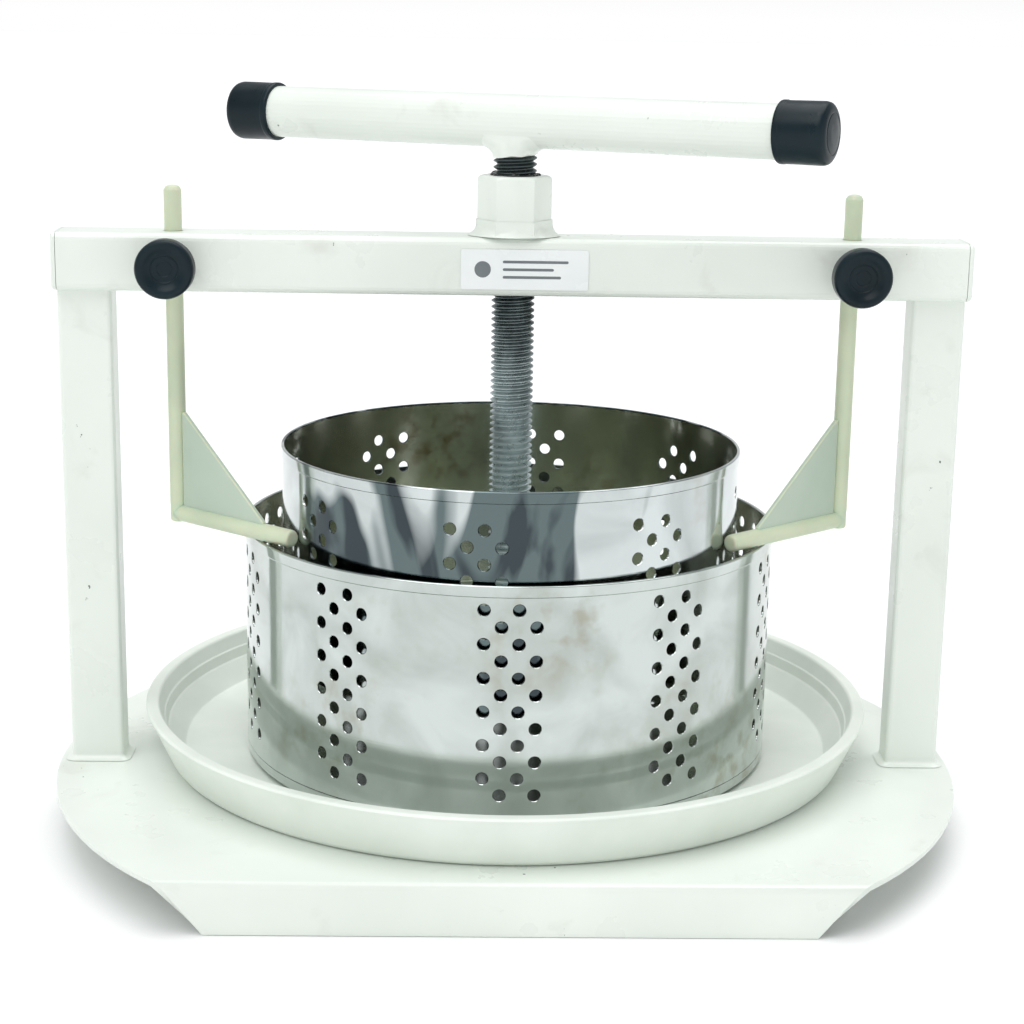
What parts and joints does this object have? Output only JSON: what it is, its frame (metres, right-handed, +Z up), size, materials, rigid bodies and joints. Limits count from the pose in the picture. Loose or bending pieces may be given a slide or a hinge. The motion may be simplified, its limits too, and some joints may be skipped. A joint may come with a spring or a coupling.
{
  "type": "bench cheese press",
  "caption": "Bench screw press with a T handle over a perforated drum in a perforated basket, standing in a drip tray on a welded frame with swinging hold-down hooks.",
  "frame": {"origin": "middle of the bounding box, on the surface that the bent-down front and rear edges of the base plate stand on", "axes": "+X to the right along the crossbeam, +Y to the rear, +Z up along the screw; the knobs and the label face -Y"},
  "size_m": [0.516, 0.4334, 0.4117],
  "materials": {
    "white_paint": "white gloss enamel over steel",
    "label_white": "printed vinyl",
    "tray_plastic": "off-white moulded plastic, satin",
    "stainless": "polished stainless sheet with handling marks",
    "zinc_steel": "zinc plated, greased thread",
    "black_plastic": "black moulded plastic, semi-gloss",
    "hook_plastic": "cream translucent plastic",
    "pad_brass": "turned"
  },
  "bodies": {
    "frame": {"base_plate": "white_paint", "left_post": "white_paint", "right_post": "white_paint", "left_post_weld": "white_paint", "right_post_weld": "white_paint", "crossbeam": "white_paint", "left_beam_plate": "white_paint", "right_beam_plate": "white_paint", "screw_nut": "white_paint", "nut_weld_collar": "white_paint", "front_label": "label_white", "left_clamp_nut": "white_paint", "right_clamp_nut": "white_paint"},
    "tray": {"drip_tray": "tray_plastic"},
    "basket": {"basket_shell": "stainless", "basket_bottom_pan": "stainless"},
    "follower": {"follower_shell": "stainless", "follower_plate": "stainless", "follower_socket": "stainless", "socket_retaining_ring": "stainless"},
    "screw": {"press_screw": "zinc_steel", "screw_foot": "zinc_steel", "handle_tube": "white_paint", "handle_weld": "white_paint", "handle_cap_left": "black_plastic", "handle_cap_right": "black_plastic"},
    "left_rod": {"left_hook_rod": "hook_plastic"},
    "left_hook": {"left_hook_pin": "hook_plastic", "left_hook_gusset": "hook_plastic"},
    "right_rod": {"right_hook_rod": "hook_plastic"},
    "right_hook": {"right_hook_pin": "hook_plastic", "right_hook_gusset": "hook_plastic"},
    "left_pad": {"left_clamp_pad": "pad_brass"},
    "left_clamp": {"left_knob": "black_plastic", "left_clamp_stud": "zinc_steel"},
    "right_pad": {"right_clamp_pad": "pad_brass"},
    "right_clamp": {"right_knob": "black_plastic", "right_clamp_stud": "zinc_steel"}
  },
  "joints": [
    {"name": "follower_slide", "type": "slide", "parent": "frame", "child": "follower", "axis": [0, 0, 1], "range_m": [-0.0079, 0.0757]},
    {"name": "handle_turn", "type": "hinge", "parent": "follower", "child": "screw", "pos_m": [0, -0.02975, 0.2], "axis": [0, 0, 1], "range_deg": [-810, 7776]},
    {"name": "tray_turn", "type": "hinge", "parent": "frame", "child": "tray", "pos_m": [0, 0.00425, 0.03], "axis": [0, 0, 1], "continuous": true},
    {"name": "basket_turn", "type": "hinge", "parent": "frame", "child": "basket", "pos_m": [0, -0.01145, 0.1], "axis": [0, 0, 1], "continuous": true},
    {"name": "left_hook_slide", "type": "slide", "parent": "frame", "child": "left_rod", "axis": [0, 0, 1], "range_m": [0, 0.06]},
    {"name": "left_hook_swivel", "type": "hinge", "parent": "left_rod", "child": "left_hook", "pos_m": [-0.188, -0.02975, 0.1735], "axis": [0, 0, 1], "range_deg": [-94, 0]},
    {"name": "right_hook_slide", "type": "slide", "parent": "frame", "child": "right_rod", "axis": [0, 0, 1], "range_m": [0, 0.06]},
    {"name": "right_hook_swivel", "type": "hinge", "parent": "right_rod", "child": "right_hook", "pos_m": [0.188, -0.02975, 0.1735], "axis": [0, 0, 1], "range_deg": [0, 94]},
    {"name": "left_clamp_slide", "type": "slide", "parent": "frame", "child": "left_pad", "axis": [0, -1, 0], "range_m": [0, 0.0044]},
    {"name": "left_knob_turn", "type": "hinge", "parent": "left_pad", "child": "left_clamp", "pos_m": [-0.188, -0.06, 0.316], "axis": [0, -1, 0], "range_deg": [0, 1260]},
    {"name": "right_clamp_slide", "type": "slide", "parent": "frame", "child": "right_pad", "axis": [0, -1, 0], "range_m": [0, 0.0044]},
    {"name": "right_knob_turn", "type": "hinge", "parent": "right_pad", "child": "right_clamp", "pos_m": [0.188, -0.06, 0.316], "axis": [0, -1, 0], "range_deg": [0, 1260]}
  ],
  "couplings": [
    {"joint": "follower_slide", "follows": "handle_turn", "m_per_rad": 0.00055704},
    {"joint": "left_clamp_slide", "follows": "left_knob_turn", "m_per_rad": 0.00019894},
    {"joint": "right_clamp_slide", "follows": "right_knob_turn", "m_per_rad": 0.00019894}
  ]
}
